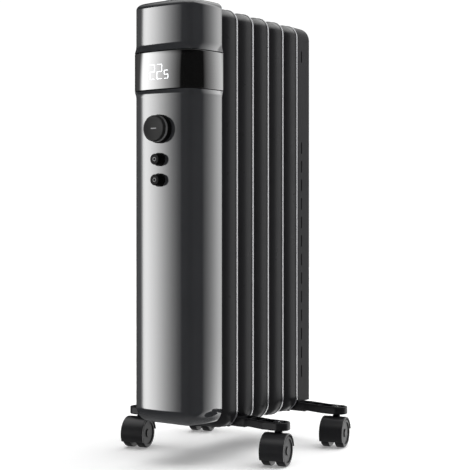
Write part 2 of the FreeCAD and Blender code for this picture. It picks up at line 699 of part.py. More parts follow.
def push_button(z):
    front = CASE_FRONT - BUTTON_PROUD
    cap = rod_y(0, z, BUTTON_RADIUS, front, CASE_FRONT + 4.6)
    cap = cap.makeFillet(0.9, edges_at(cap, lambda p: p.y < front + TINY))
    flange = rod_y(0, z, BUTTON_RADIUS + 2.0, CASE_FRONT + 4.6, CASE_FRONT + 6.0)
    stalk = rod_y(0, z, 2.2, CASE_FRONT + 6.0, BOARD_FRONT - 5.2)
    return fused([cap, flange, stalk])


def button_collars():
    collars = []
    front = CASE_FRONT - BUTTON_COLLAR_PROUD
    for z in BUTTON_Z.values():
        ring = rod_y(0, z, BUTTON_COLLAR_RADIUS, front, CASE_FRONT + 1).cut(seat())
        ring = ring.makeFillet(0.7, edges_at(ring, lambda p: p.y < front + TINY))
        spigot = rod_y(0, z, BUTTON_SPIGOT_RADIUS, CASE_FRONT - 1.0, CASE_FRONT + 4.3)
        bore = rod_y(0, z, BUTTON_RADIUS + RUNNING_FIT, front - 1, CASE_FRONT + 6)
        collars.append(fused([ring, spigot]).cut(bore))
    return collars


def tact_switches():
    switches = []
    for z in BUTTON_Z.values():
        case = box(-3.0, 3.0, BOARD_FRONT - 3.0, BOARD_FRONT, z - 3.0, z + 3.0)
        switches.append(fused([case, rod_y(0, z, 1.6, BOARD_FRONT - 3.5, BOARD_FRONT - 3.0)]))
    return switches


def control_board():
    return box(-24, 24, BOARD_FRONT, BOARD_FRONT + BOARD_THICK, 372.0, 476.0)


def display_module():
    """Light emitting display block behind the band, on its own small board."""
    board = box(-26, 26, CASE_FRONT + 8.5, CASE_FRONT + 8.5 + BOARD_THICK, 512.0, 549.0)
    block = box(-17, 17, CASE_FRONT + 2.5, CASE_FRONT + 8.5, 519.0, 543.0)
    return [board, block]


def digit_bars(figure, x, z, width, height, y0, y1):
    """Seven segment bars of one figure; x and z are its lower left corner."""
    t = width * 0.16
    half = height / 2
    places = {
        "a": (t, width - t, height - t, height),
        "g": (t, width - t, half - t / 2, half + t / 2),
        "d": (t, width - t, 0, t),
        "f": (0, t, half + t, height - t),
        "b": (width - t, width, half + t, height - t),
        "e": (0, t, t, half - t),
        "c": (width - t, width, t, half - t),
    }
    bars = []
    for segment in DIGIT_SEGMENTS[figure]:
        x0, x1, z0, z1 = places[segment]
        bars.append(box(x + x0, x + x1, y0, y1, z + z0, z + z1))
    return bars


def display_digits():
    y0, y1 = CASE_FRONT + 2.1, CASE_FRONT + 2.5
    bars = digit_bars("2", -16.0, DIGIT_BOTTOM, DIGIT_WIDTH, DIGIT_HEIGHT, y0, y1)
    bars += digit_bars("2", -3.4, DIGIT_BOTTOM, DIGIT_WIDTH, DIGIT_HEIGHT, y0, y1)
    return bars + digit_bars("5", 9.0, DIGIT_BOTTOM, SMALL_DIGIT_WIDTH, SMALL_DIGIT_HEIGHT, y0, y1)


# ---- electrics inside the housing -------------------------------------------------------------------------
def power_board():
    board = box(-38, 38, POWER_Y, POWER_Y + BOARD_THICK, 180.0, 300.0)
    pillars = [rod_y(x, z, 2.5, POWER_Y + BOARD_THICK, CASE_REAR - PLATE_THICK)
               for x in (-33, 33) for z in (185.0, 295.0)]
    return [board] + pillars


def power_components():
    """Two relays, a transformer and a filter capacitor on the power board."""
    parts = [box(x - 8, x + 8, POWER_Y - 16, POWER_Y, 190.0, 212.0) for x in (-22, 6)]
    core = box(-26, 8, POWER_Y - 24, POWER_Y, 240.0, 278.0)
    coil = box(-22, 4, POWER_Y - 28, POWER_Y - 24, 246.0, 272.0)
    parts.append(fused([core, coil]))
    parts.append(rod_y(24, 256.0, 7.0, POWER_Y - 22, POWER_Y))
    return parts


def terminal_block():
    block = box(-22, 22, CASE_REAR - PLATE_THICK - 14, CASE_REAR - PLATE_THICK, 142.0, 156.0)
    wells = [rod_y(x, 149.0, 2.6, CASE_REAR - 20, CASE_REAR - PLATE_THICK - 8) for x in (-14.5, 0, 14.5)]
    return cut_all(block, wells)


def tip_over_switch():
    return box(30, 46, CASE_REAR - PLATE_THICK - 18, CASE_REAR - PLATE_THICK, 100.0, 124.0)


def thermal_cutout():
    plate = CASE_REAR - PLATE_THICK
    ears = box(22.5, 41.5, plate - 1.2, plate, 143.0, 149.0)
    return fused([rod_y(32, 146.0, 8.0, plate - 9, plate), ears])


def room_sensor():
    """Bead thermistor on a clip in the bottom of the housing, away from the fins."""
    clip = box(-14, -6, CASE_REAR - 34.0, CASE_REAR - 30.0, CASE_BOTTOM + CASE_WALL, 74.0)
    return fused([clip, Part.makeSphere(3.0, V(-10, CASE_REAR - 34.0, 72.0))])


# ---- rear cover -------------------------------------------------------------------------------------------
def slot_x(y, z, length):
    """A slot through both side walls of the cover."""
    r = SLOT_WIDTH / 2
    bar = box(-70, 70, y - r, y + r, z - length / 2 + r, z + length / 2 - r)
    return fused([bar, rod_x(y, z - length / 2 + r, r, -70, 70), rod_x(y, z + length / 2 - r, r, -70, 70)])


def rear_cover():
    t = COVER_SHEET
    outer = rounded_panel(COVER_HALF_WIDTH, COVER_BOTTOM - 40, COVER_TOP, COVER_CORNER, COVER_CORNER,
                          COVER_FRONT, HALF_DEPTH)
    outer = outer.makeFillet(COVER_EDGE_ROUND, edges_at(outer, lambda p: p.y > HALF_DEPTH - TINY))
    inner = rounded_panel(COVER_HALF_WIDTH - t, COVER_BOTTOM - 40 + t, COVER_TOP - t, COVER_CORNER - t,
                          COVER_CORNER - t, COVER_FRONT - 1, HALF_DEPTH - t)
    inner = inner.makeFillet(COVER_EDGE_ROUND - t, edges_at(inner, lambda p: p.y > HALF_DEPTH - t - TINY))
    shell = outer.cut(inner).cut(box(-80, 80, COVER_FRONT - 5, HALF_DEPTH + 5, 0, COVER_BOTTOM))
    heights = [SLOT_FIRST_Z + SLOT_PITCH * row for row in range(SLOT_COUNT)]
    cuts = [slot_x(SLOT_Y, z, SLOT_LENGTH) for z in heights + [SLOT_TOP_Z]]
    back = []
    for row in range(BACK_SLOT_ROWS):
        z = 120.0 + 36.0 * row
        for column in range(BACK_SLOT_COLUMNS):
            x = (column - (BACK_SLOT_COLUMNS - 1) / 2) * 18.0
            back.append(box(x - 2.0, x + 2.0, HALF_DEPTH - 5, HALF_DEPTH + 5, z, z + 22.0))
    posts, bores = [], []
    rear = fin_front(FIN_COUNT) + HIDDEN_FIN_DEPTH
    seat_y = HALF_DEPTH - COVER_SCREW_SINK
    for x, z in COVER_SCREWS:
        posts.append(rod_y(x, z, COVER_POST_RADIUS, rear - 4.0, HALF_DEPTH - t))
        bores.append(rod_y(x, z, COVER_SCREW_RADIUS, rear - 5, HALF_DEPTH + 1))
        bores.append(rod_y(x, z, 2 * COVER_SCREW_RADIUS + 0.2, seat_y, HALF_DEPTH + 1))
    return cut_all(fused([shell] + posts), cuts + back + bores)


def rear_cover_screws():
    seat_y = HALF_DEPTH - COVER_SCREW_SINK
    return [pan_screw(x, z, seat_y, 16.0, COVER_SCREW_RADIUS) for x, z in COVER_SCREWS]


# ---- feet -------------------------------------------------------------------------------------------------
def foot_plan(centre_y, shrink, z0, z1):
    """A foot's plan: a bar between the fins that tapers into a round lobe at each end."""
    r = FOOT_LOBE_RADIUS - shrink
    tip = FOOT_HALF_LENGTH - FOOT_LOBE_RADIUS
    shoulder = tip - 22.0
    front, rear = centre_y + FOOT_BAR_FRONT + shrink, centre_y + FOOT_BAR_REAR - shrink
    near, far = centre_y - r, centre_y + r
    bar = FOOT_BAR_HALF
    points = [
        V(-bar, front, z0), V(bar, front, z0), V(shoulder, near, z0), V(tip, near, z0),
        V(tip, far, z0), V(shoulder, far, z0), V(bar, rear, z0), V(-bar, rear, z0),
        V(-shoulder, far, z0), V(-tip, far, z0), V(-tip, near, z0), V(-shoulder, near, z0),
    ]
    plan = Part.Face(Part.makePolygon(points + points[:1])).extrude(V(0, 0, z1 - z0))
    ends = [rod_z(s * tip, centre_y, r, z0, z1) for s in (-1, 1)]
    return fused([plan] + ends)


def foot(centre_y):
    """Ribbed foot: rounded edges, a shallow tray in the top of each arm, bosses for stems and bolts."""
    body = foot_plan(centre_y, 0.0, FOOT_BOTTOM, FOOT_TOP)
    outline = edges_at(body, lambda p: p.z > FOOT_TOP - TINY)
    outline += edges_at(body, lambda p: p.z < FOOT_BOTTOM + TINY)
    body = body.makeFillet(1.6, outline)
    keel = box(-FOOT_BAR_HALF, FOOT_BAR_HALF, centre_y + FOOT_BAR_FRONT + 2, centre_y + FOOT_BAR_REAR - 2,
               FOOT_BOTTOM - 2.0, FOOT_BOTTOM + 1)
    tray = foot_plan(centre_y, 3.4, FOOT_TOP - 4.0, FOOT_TOP + 1)
    keep = [box(-58, 58, centre_y - 40, centre_y + 40, FOOT_TOP - 6, FOOT_TOP + 2)]
    keep += [rod_z(s * STEM_X, centre_y, 7.0, FOOT_TOP - 6, FOOT_TOP + 2) for s in (-1, 1)]
    for side in (-1, 1):
        for x in (74.0, 92.0):
            keep.append(box(side * x - 1.0, side * x + 1.0, centre_y - 40, centre_y + 40, 40, 70))
    tray = cut_all(tray, keep)
    body = fused([body, keel]).cut(tray)
    holes = [rod_z(s * STEM_X, centre_y, STEM_RADIUS, FOOT_BOTTOM - 1, FOOT_TOP + 1) for s in (-1, 1)]
    bolt_y = centre_y + U_BOLT_BACK
    holes += [rod_z(s * U_BOLT_REACH, bolt_y, U_BOLT_RADIUS, 40, FOOT_TOP + 1) for s in (-1, 1)]
    return cut_all(body, holes)


def foot_u_bolts():
    """One bent rod over the lower header for each foot."""
    bolts = []
    tip_z = FOOT_BOTTOM - WING_NUT_HEIGHT - 2.0
    for centre_y in FOOT_Y.values():
        y = centre_y + U_BOLT_BACK
        bend = Part.makeTorus(U_BOLT_REACH, U_BOLT_RADIUS, V(0, y, LOWER_HEADER_Z), Y_AXIS)
        bend = bend.common(box(-40, 40, y - 5, y + 5, LOWER_HEADER_Z, LOWER_HEADER_Z + 40))
        legs = [rod_z(s * U_BOLT_REACH, y, U_BOLT_RADIUS, tip_z, LOWER_HEADER_Z) for s in (-1, 1)]
        bolts.append(fused([bend] + legs))
    return bolts


def foot_wing_nuts():
    """Low wing nuts under the feet, two on each U-bolt."""
    nuts = []
    top = FOOT_BOTTOM - 2.0
    low = top - WING_NUT_HEIGHT
    for centre_y in FOOT_Y.values():
        y = centre_y + U_BOLT_BACK
        for side in (-1, 1):
            x = side * U_BOLT_REACH
            barrel = Part.makeCone(4.6, 4.0, WING_NUT_HEIGHT - 1.0, V(x, y, top), V(0, 0, -1))
            wings = box(x - 9, x + 9, y - 1.2, y + 1.2, low, top - 0.8)
            wings = wings.makeFillet(1.6, [e for e in wings.Edges
                                           if abs(e.tangentAt(e.FirstParameter).y) > 0.99])
            notch = box(x - 4.2, x + 4.2, y - 6, y + 6, low - 1, low + 1.0)
            nuts.append(fused([barrel, wings.cut(notch)]).cut(rod_z(x, y, U_BOLT_RADIUS, low - 1, top + 1)))
    return nuts


# ---- casters ----------------------------------------------------------------------------------------------
def caster_parts():
    """Hood, axle and the two wheels of one caster, with its swivel axis on Z and its wheels rolling on Y."""
    y = -CASTER_TRAIL
    h = HOOD_HALF_WIDTH
    drum = rod_x(y, AXLE_Z, HOOD_RADIUS, -h, h)
    drum = drum.makeFillet(1.2, edges_at(drum, lambda p: abs(abs(p.x) - h) < TINY))
    inside = HOOD_RADIUS - HOOD_SHELL
    hollow = [rod_x(y, AXLE_Z, inside, HOOD_WEB_HALF, 2 * h),
              rod_x(y, AXLE_Z, inside, -2 * h, -HOOD_WEB_HALF)]
    below = box(-h - 1, h + 1, y - 40, y + 2.0, -5, HOOD_LIP_Z)
    behind = box(-h - 1, h + 1, y + 2.0, y + 40, -5, AXLE_Z + 3.0)
    behind = behind.cut(rod_x(y, AXLE_Z, 7.0, -h - 1, h + 1))
    neck = fused([rod_z(0, 0, 5.6, 41.2, 44.5), Part.makeCone(5.6, 4.4, 2.0, V(0, 0, 44.5), Z_AXIS)])
    hood = fused([cut_all(drum, hollow + [below, behind]), neck])
    hood = cut_all(hood, [rod_x(y, AXLE_Z, AXLE_RADIUS, -30, 30),
                          rod_z(0, 0, STEM_RADIUS + RUNNING_FIT, 29.0, 60.0)])
    axle = rod_x(y, AXLE_Z, AXLE_RADIUS, -WHEEL_OUTER + 1.0, WHEEL_OUTER - 1.0)
    wheels = []
    for side in (-1, 1):
        x0, x1 = (WHEEL_INNER, WHEEL_OUTER) if side > 0 else (-WHEEL_OUTER, -WHEEL_INNER)
        wheel = rod_x(y, AXLE_Z, WHEEL_RADIUS, x0, x1)
        wheel = wheel.makeFillet(2.6, edges_at(wheel, lambda p: abs(abs(p.x) - WHEEL_OUTER) < TINY))
        wheel = wheel.makeFillet(1.0, edges_at(wheel, lambda p: abs(abs(p.x) - WHEEL_INNER) < TINY))
        face = side * WHEEL_OUTER
        near, far = sorted((face, face - side * 1.2))
        dish = rod_x(y, AXLE_Z, WHEEL_RADIUS - 5.0, near, far)
        hub = rod_x(y, AXLE_Z, 6.0, near - 0.1, far + 0.1)
        bore_ends = (x0 - 1.0, x1 - 1.0) if side > 0 else (x0 + 1.0, x1 + 1.0)
        bore = rod_x(y, AXLE_Z, AXLE_RADIUS + RUNNING_FIT, *bore_ends)
        wheels.append(cut_all(wheel, [dish.cut(hub), bore]))
    return hood, axle, wheels


def place_caster(shape, x, y):
    copy = shape.copy()
    copy.rotate(V(0, 0, 0), Z_AXIS, CASTER_REST_TURN)
    copy.translate(V(x, y, 0))
    return copy


def caster_stems():
    stems = []
    for x, y in CASTERS.values():
        stem = rod_z(x, y, STEM_RADIUS, 30.0, FOOT_TOP)
        stems.append(stem.makeChamfer(0.6, edges_at(stem, lambda p: p.z > FOOT_TOP - TINY)))
    return stems


# ---- everything -------------------------------------------------------------------------------------------
def main():
    os.makedirs("parts", exist_ok=True)
    for index in range(1, FIN_COUNT + 1):
        export(f"fin_{index}", *fin(index))
    export("header_collars", *header_collars())
    export("oil_filler_plug", filler_plug())
    export("heating_elements", *heating_elements())
    export("heater_flange", heater_flange())
    export("heater_gasket", heater_gasket())
    export("lower_housing", lower_housing())
    export("top_cap", top_cap())
    export("carry_handle", carry_handle())
    export("display_band", display_band())
    export("display_module", *display_module())
    export("display_digits", *display_digits())
    export("housing_back_plate", back_plate())
    export("housing_screws", *housing_screws())
    export("cable_inlet", cable_inlet())
    export("knob", knob())
    export("knob_collar", knob_collar())
    export("encoder_shaft", encoder_shaft())
    export("encoder_slider", encoder_slider())
    export("rotary_encoder", rotary_encoder())
    for name, z in BUTTON_Z.items():
        export(name, push_button(z))
    export("button_collars", *button_collars())
    export("tact_switches", *tact_switches())
    export("control_board", control_board())
    export("power_board", *power_board())
    export("power_components", *power_components())
    export("terminal_block", terminal_block())
    export("tip_over_switch", tip_over_switch())
    export("thermal_cutout", thermal_cutout())
    export("room_sensor", room_sensor())
    export("rear_cover", rear_cover())
    export("rear_cover_screws", *rear_cover_screws())
    for name, centre_y in FOOT_Y.items():
        export(name, foot(centre_y))
    export("foot_u_bolts", *foot_u_bolts())
    export("foot_wing_nuts", *foot_wing_nuts())
    export("caster_stems", *caster_stems())
    hood, axle, wheels = caster_parts()
    for name, (x, y) in CASTERS.items():
        export(f"caster_hood_{name}", place_caster(hood, x, y))
        export(f"caster_axle_{name}", place_caster(axle, x, y))
        export(f"wheel_{name}_left", place_caster(wheels[0], x, y))
        export(f"wheel_{name}_right", place_caster(wheels[1], x, y))


main()
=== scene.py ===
import json
import math

import bmesh
import bpy
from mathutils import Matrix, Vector

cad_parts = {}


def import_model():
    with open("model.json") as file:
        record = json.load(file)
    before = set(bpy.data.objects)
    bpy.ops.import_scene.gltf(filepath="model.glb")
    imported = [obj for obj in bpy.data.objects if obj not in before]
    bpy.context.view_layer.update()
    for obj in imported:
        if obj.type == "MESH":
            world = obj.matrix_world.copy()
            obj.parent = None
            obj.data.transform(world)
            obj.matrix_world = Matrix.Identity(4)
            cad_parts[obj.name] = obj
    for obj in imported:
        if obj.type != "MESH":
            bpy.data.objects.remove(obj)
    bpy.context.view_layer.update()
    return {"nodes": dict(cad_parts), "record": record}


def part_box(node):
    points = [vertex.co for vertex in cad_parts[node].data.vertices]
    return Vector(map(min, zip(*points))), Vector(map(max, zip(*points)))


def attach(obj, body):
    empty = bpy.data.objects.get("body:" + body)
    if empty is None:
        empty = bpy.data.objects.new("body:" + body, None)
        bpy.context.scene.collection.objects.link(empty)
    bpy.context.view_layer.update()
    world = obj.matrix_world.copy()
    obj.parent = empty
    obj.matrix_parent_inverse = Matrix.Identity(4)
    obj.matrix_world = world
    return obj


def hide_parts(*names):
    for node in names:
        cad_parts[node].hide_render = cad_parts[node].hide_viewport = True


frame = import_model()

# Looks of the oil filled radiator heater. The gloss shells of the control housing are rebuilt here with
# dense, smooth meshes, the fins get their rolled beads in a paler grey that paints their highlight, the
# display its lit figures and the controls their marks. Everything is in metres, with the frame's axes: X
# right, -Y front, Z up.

scene = bpy.context.scene
MM = 0.001

# ---- camera: nearly level, front right --------------------------------------------------------------------
CAMERA_PLACE = (0.9583, -1.3758, 0.3307)
CAMERA_TURN = 33.8            # degrees from the front, towards the right
CAMERA_LENS = 89.08
CAMERA_SHIFT = (-0.0157, -0.0292)

# ---- control housing: the CAD model's outline -------------------------------------------------------------
CASE_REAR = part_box("housing_back_plate")[1][1]
CASE_HALF_WIDTH = 58.4 * MM
CASE_FRONT = -143.0 * MM
CASE_SIDE_RADIUS = 134.0 * MM
CASE_CORNER = 13.0 * MM
CASE_FRONT_RADIUS = 260.0 * MM
CASE_WALL = 2.4 * MM
CASE_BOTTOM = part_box("lower_housing")[0][2]
CASE_ROUND_IN = 16.0 * MM
CASE_ROUND_UP = 22.0 * MM
CASE_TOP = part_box("top_cap")[1][2]
CAP_ROUND_IN = 11.0 * MM
CAP_ROUND_DOWN = 9.0 * MM
CAP_FLARE = 11.0 * MM
HOUSING_FLARE = 9.0 * MM
BAND_PROUD = 2.0 * MM
BAND_WALL = 2.6 * MM
BAND_BOTTOM, BAND_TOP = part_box("display_band")[0][2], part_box("display_band")[1][2]
HOUSING_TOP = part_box("lower_housing")[1][2]
CAP_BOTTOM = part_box("top_cap")[0][2]
LIP_ARCH_HALF = 40.0 * MM
LIP_ARCH_RISE = 2.0 * MM
LIP_ARCH_STEPS = 24
PLATE_LOW, PLATE_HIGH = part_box("housing_back_plate")
PLATE_GAP = 0.3 * MM
PLATE_TOP_CORNER = 14.0 * MM
PLATE_BOTTOM_CORNER = 16.0 * MM
WELL_HALF_WIDTH = 42.0 * MM
WELL_FRONT, WELL_REAR = -118.0 * MM, -85.5 * MM
WELL_DEPTH = 24.0 * MM
WELL_CORNER = 8.0 * MM
WELL_WALL = 2.0 * MM
WELL_FLOOR_ROUND = 4.0 * MM
WELL_RIM_PROUD = 0.25 * MM    # the tub's rim stands a hair above the cap
WELL_RIM_EDGE = 0.3 * MM
WELL_CLEAR = 0.1 * MM         # between the tub and the hole in the cap
BAND_EDGE = 0.6 * MM
BAND_EDGE_STEPS = 6

# ---- fins -------------------------------------------------------------------------------------------------
BEAD_FINS = ("fin_1", "fin_2", "fin_3", "fin_4", "fin_5")
BEAD_WIDTH = 3.7 * MM
BEAD_THICK = 1.6 * MM
BEAD_EDGE = 0.6 * MM
BEAD_INSET = 0.6 * MM         # from the fin's outline to the middle of the bead
BEAD_SETBACK = 2.0 * MM       # from the fin's rear face to the middle of the bead
BEAD_CORNER_STEPS = 14
FIN_TOP_CORNER = 19.6 * MM
FIN_BOTTOM_CORNER = 25.6 * MM


# ---- shader helpers ---------------------------------------------------------------------------------------
class Nodes:
    """Short ways to add and join nodes in one node tree."""

    def __init__(self, tree):
        self.tree = tree

    def add(self, kind, **settings):
        node = self.tree.nodes.new(kind)
        for name, value in settings.items():
            setattr(node, name, value)
        return node

    def join(self, source, target):
        self.tree.links.new(source, target)

    def feed(self, socket, value):
        if isinstance(value, bpy.types.NodeSocket):
            self.join(value, socket)
        else:
            socket.default_value = value

    def math(self, operation, a, b=0.0, clamp=False):
        node = self.add("ShaderNodeMath", operation=operation, use_clamp=clamp)
        self.feed(node.inputs[0], a)
        self.feed(node.inputs[1], b)
        return node.outputs[0]

    def step(self, value, low, high):
        """0 below low, 1 above high, a smooth ramp between; low may be above high."""
        node = self.add("ShaderNodeMapRange", interpolation_type="SMOOTHSTEP")
        self.feed(node.inputs["Value"], value)
        if low < high:
            node.inputs["From Min"].default_value = low
            node.inputs["From Max"].default_value = high
        else:
            node.inputs["From Min"].default_value = high
            node.inputs["From Max"].default_value = low
            node.inputs["To Min"].default_value = 1.0
            node.inputs["To Max"].default_value = 0.0
        return node.outputs["Result"]

    def noise(self, scale, detail=3.0, roughness=0.5):
        node = self.add("ShaderNodeTexNoise")
        self.join(self.add("ShaderNodeTexCoord").outputs["Object"], node.inputs["Vector"])
        node.inputs["Scale"].default_value = scale
        node.inputs["Detail"].default_value = detail
        node.inputs["Roughness"].default_value = roughness
        return node.outputs["Fac"]

    def between(self, share, low, high):
        """A number that goes from low to high as share goes from 0 to 1."""
        node = self.add("ShaderNodeMapRange")
        self.feed(node.inputs["Value"], share)
        node.inputs["To Min"].default_value = low
        node.inputs["To Max"].default_value = high
        return node.outputs["Result"]

    def tint(self, share, dark, light):
        node = self.add("ShaderNodeMix", data_type="RGBA")
        self.feed(node.inputs["Factor"], share)
        node.inputs["A"].default_value = (*dark, 1.0)
        node.inputs["B"].default_value = (*light, 1.0)
        return node.outputs["Result"]


ROUGH_VARY = 0.25             # share by which the roughness wanders either way
GRAIN_DEPTH = 0.2 * MM


def blank(name):
    """A new material with one Principled shader, its node helper and the shader."""
    material = bpy.data.materials.new(name)
    material.use_nodes = True
    material.node_tree.nodes.clear()
    n = Nodes(material.node_tree)
    shader = n.add("ShaderNodeBsdfPrincipled")
    out = n.add("ShaderNodeOutputMaterial")
    n.join(shader.outputs[0], out.inputs["Surface"])
    return material, n, shader


def surface(name, colour, rough, metal=0.0, vary=0.12, grain=900.0, bump=0.02, cloud=14.0, ior=1.5):
    """Moulded or painted surface: faint cloudy colour and gloss changes, and a fine grain."""
    material, n, shader = blank(name)
    patches = n.noise(cloud, 4.0, 0.6)
    dark = tuple(c * (1 - vary) for c in colour)
    light = tuple(c * (1 + vary) for c in colour)
    n.join(n.tint(patches, dark, light), shader.inputs["Base Color"])
    smear = n.noise(cloud * 3.1, 3.0, 0.55)
    n.join(n.between(smear, rough * (1 - ROUGH_VARY), rough * (1 + ROUGH_VARY)), shader.inputs["Roughness"])
    shader.inputs["Metallic"].default_value = metal
    shader.inputs["IOR"].default_value = ior
    relief = n.add("ShaderNodeBump")
    relief.inputs["Strength"].default_value = bump
    relief.inputs["Distance"].default_value = GRAIN_DEPTH
    n.join(n.noise(grain, 2.0, 0.5), relief.inputs["Height"])
    n.join(relief.outputs["Normal"], shader.inputs["Normal"])
    return material


def painted_top_highlight(name, light, **settings):
    """A surface with a painted highlight: its base colour turns paler where its upper edge faces the sky."""
    material = surface(name, **settings)
    n = Nodes(material.node_tree)
    shader = next(node for node in material.node_tree.nodes if node.type == "BSDF_PRINCIPLED")
    base = shader.inputs["Base Color"].links[0].from_socket
    facing = n.add("ShaderNodeSeparateXYZ")
    n.join(n.add("ShaderNodeNewGeometry").outputs["Normal"], facing.inputs[0])
    upward = facing.outputs["Z"]
    # painted highlight: paler base colour where the normal turns upward, but not on flat tops
    lit = n.math("MULTIPLY", n.step(upward, 0.25, 0.6), n.step(upward, 0.99, 0.8))
    highlight_share = n.math("MULTIPLY", lit, n.between(n.noise(60.0), 0.75, 1.0))
    mix = n.add("ShaderNodeMix", data_type="RGBA")
    n.join(highlight_share, mix.inputs["Factor"])
    n.join(base, mix.inputs["A"])
    mix.inputs["B"].default_value = (light, light, light, 1.0)
    n.join(mix.outputs["Result"], shader.inputs["Base Color"])
    return material


def glowing(name, colour, strength):
    """Lit display segments, a little uneven."""
    material, n, shader = blank(name)
    shader.inputs["Base Color"].default_value = (*colour, 1.0)
    n.join(n.tint(n.noise(300.0), tuple(c * 0.94 for c in colour), colour), shader.inputs["Emission Color"])
    shader.inputs["Emission Strength"].default_value = strength
    return material


SURFACES = {
    "fin_enamel": dict(colour=(0.013, 0.013, 0.014), rough=0.30, grain=1600.0, bump=0.05, ior=1.12),
    # paler grey for the fins' beads, a painted highlight on the rolled seams
    "fin_bead": dict(colour=(0.12, 0.12, 0.13), rough=0.2, grain=1600.0, bump=0.02, ior=1.8),
    "cover_enamel": dict(colour=(0.012, 0.012, 0.013), rough=0.34, grain=1600.0, bump=0.05, ior=1.1),
    "housing_gloss": dict(colour=(0.0235, 0.0243, 0.0262), rough=0.02, grain=60.0, bump=0.001, cloud=8.0),
    "band_black": dict(colour=(0.0008, 0.0008, 0.0008), rough=0.02, grain=60.0, bump=0.001, ior=1.65),
    "handle_grey": dict(colour=(0.55, 0.55, 0.56), rough=0.35, grain=1500.0, bump=0.08),
    "control_black": dict(colour=(0.010, 0.010, 0.010), rough=0.3, grain=1500.0, bump=0.04, ior=1.13),
    # pale grey for the knob's sleeve, a painted highlight on the knob's side
    "grip_grey": dict(colour=(0.12, 0.12, 0.122), rough=0.3, grain=900.0, bump=0.04, ior=1.4),
    "collar_black": dict(colour=(0.003, 0.003, 0.003), rough=0.3, grain=1500.0, bump=0.03, ior=1.1),
    "foot_plastic": dict(colour=(0.010, 0.010, 0.011), rough=0.36, grain=1500.0, bump=0.1, ior=1.2),
    "caster_plastic": dict(colour=(0.012, 0.012, 0.013), rough=0.32, grain=1500.0, bump=0.1, ior=1.3),
    "wheel_plastic": dict(colour=(0.010, 0.010, 0.011), rough=0.36, grain=1500.0, bump=0.1, ior=1.15),
    "plated_steel": dict(colour=(0.55, 0.56, 0.57), rough=0.3, metal=1.0, grain=600.0, bump=0.04),
    "element_steel": dict(colour=(0.40, 0.40, 0.41), rough=0.4, metal=1.0, grain=600.0, bump=0.04),
    "axle_steel": dict(colour=(0.50, 0.50, 0.52), rough=0.25, metal=1.0),
    "chrome_stem": dict(colour=(0.75, 0.75, 0.77), rough=0.1, metal=1.0, vary=0.04, bump=0.01),
    "gasket_rubber": dict(colour=(0.03, 0.02, 0.02), rough=0.8, bump=0.2),
    "display_block": dict(colour=(0.02, 0.02, 0.02), rough=0.4),
    "switch_plastic": dict(colour=(0.05, 0.05, 0.055), rough=0.5),
    "board_green": dict(colour=(0.02, 0.09, 0.04), rough=0.35, vary=0.3, cloud=220.0),
    "component_dark": dict(colour=(0.03, 0.03, 0.035), rough=0.5),
}
materials = {name: surface(name, **settings) for name, settings in SURFACES.items()}
# the fins' tops get a painted highlight in their base colour
materials["fin_enamel"] = painted_top_highlight("fin_enamel", 0.15, **SURFACES["fin_enamel"])
materials["display_light"] = glowing("display_light", (0.94, 0.97, 1.0), 1.15)

slots = {row["node"]: row["material_slot"] for row in frame["record"]["subparts"]}
slots.update(dict.fromkeys(("knob_collar", "button_collars", "mode_button", "power_button"), "collar_black"))
for node_name, node in frame["nodes"].items():
    node.data.materials.clear()
    node.data.materials.append(materials[slots[node_name]])


# ---- mesh helpers -----------------------------------------------------------------------------------------
def piece(name, vertices, faces, material, slot=None, sharp=35.0):
    """A closed mesh object, smooth but for edges sharper than the angle, that rides on the heater when a
    slot is given.
    """
    mesh = bpy.data.meshes.new(name)
    mesh.from_pydata(vertices, [], faces)
    shape = bmesh.new()
    shape.from_mesh(mesh)
    bmesh.ops.recalc_face_normals(shape, faces=shape.faces)
    shape.to_mesh(mesh)
    shape.free()
    made = bpy.data.objects.new(name, mesh)
    scene.collection.objects.link(made)
    made.data.materials.append(materials[material])
    soften(made, sharp)
    if slot:
        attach(made, "heater")
    return made


def soften(made, sharp):
    made.data.polygons.foreach_set("use_smooth", [True] * len(made.data.polygons))
    made.data.set_sharp_from_angle(angle=math.radians(sharp))


def stack(rings, closed=False):
    """Vertices and faces through rings of equal length; the ends are filled unless the stack is closed."""
    count = len(rings[0])
    vertices = [point for ring in rings for point in ring]
    faces = []
    last = len(rings) if closed else len(rings) - 1
    for level in range(last):
        low, high = level * count, (level + 1) % len(rings) * count
        for k in range(count):
            after = (k + 1) % count
            faces.append((low + k, low + after, high + after, high + k))
    if not closed:
        faces.append(tuple(range(count - 1, -1, -1)))
        top = (len(rings) - 1) * count
        faces.append(tuple(range(top, top + count)))
    return vertices, faces


def carve(made, cutters, sharp=35.0):
    """Cuts the other objects away from a piece and deletes them."""
    for cutter in cutters:
        step = made.modifiers.new("cut", "BOOLEAN")
        step.operation = "DIFFERENCE"
        step.solver = "EXACT"
        step.object = cutter
    bpy.context.view_layer.update()
    graph = bpy.context.evaluated_depsgraph_get()
    mesh = bpy.data.meshes.new_from_object(made.evaluated_get(graph))
    made.modifiers.clear()
    made.data = mesh
    for cutter in cutters:
        bpy.data.objects.remove(cutter)
    soften(made, sharp)


def rounded_rectangle(x0, x1, z0, z1, top, bottom, steps=12):
    """Points in the X-Z plane, anticlockwise seen from the front, with round top and bottom corners."""
    corners = [(x1 - top, z1 - top, top, 0.0), (x0 + top, z1 - top, top, 90.0),
               (x0 + bottom, z0 + bottom, bottom, 180.0), (x1 - bottom, z0 + bottom, bottom, 270.0)]
    points = []
    for x, z, radius, start in corners:
        for k in range(steps + 1):
            turn = math.radians(start + 90.0 * k / steps)
            points.append((x + radius * math.cos(turn), z + radius * math.sin(turn)))
    return points


def slab(name, points, y0, y1):
    """A prism along Y, used as a cutter."""
    rings = [[(x, y, z) for x, z in points] for y in (y0, y1)]
    vertices, faces = stack(rings)
    return piece(name, vertices, faces, "component_dark")


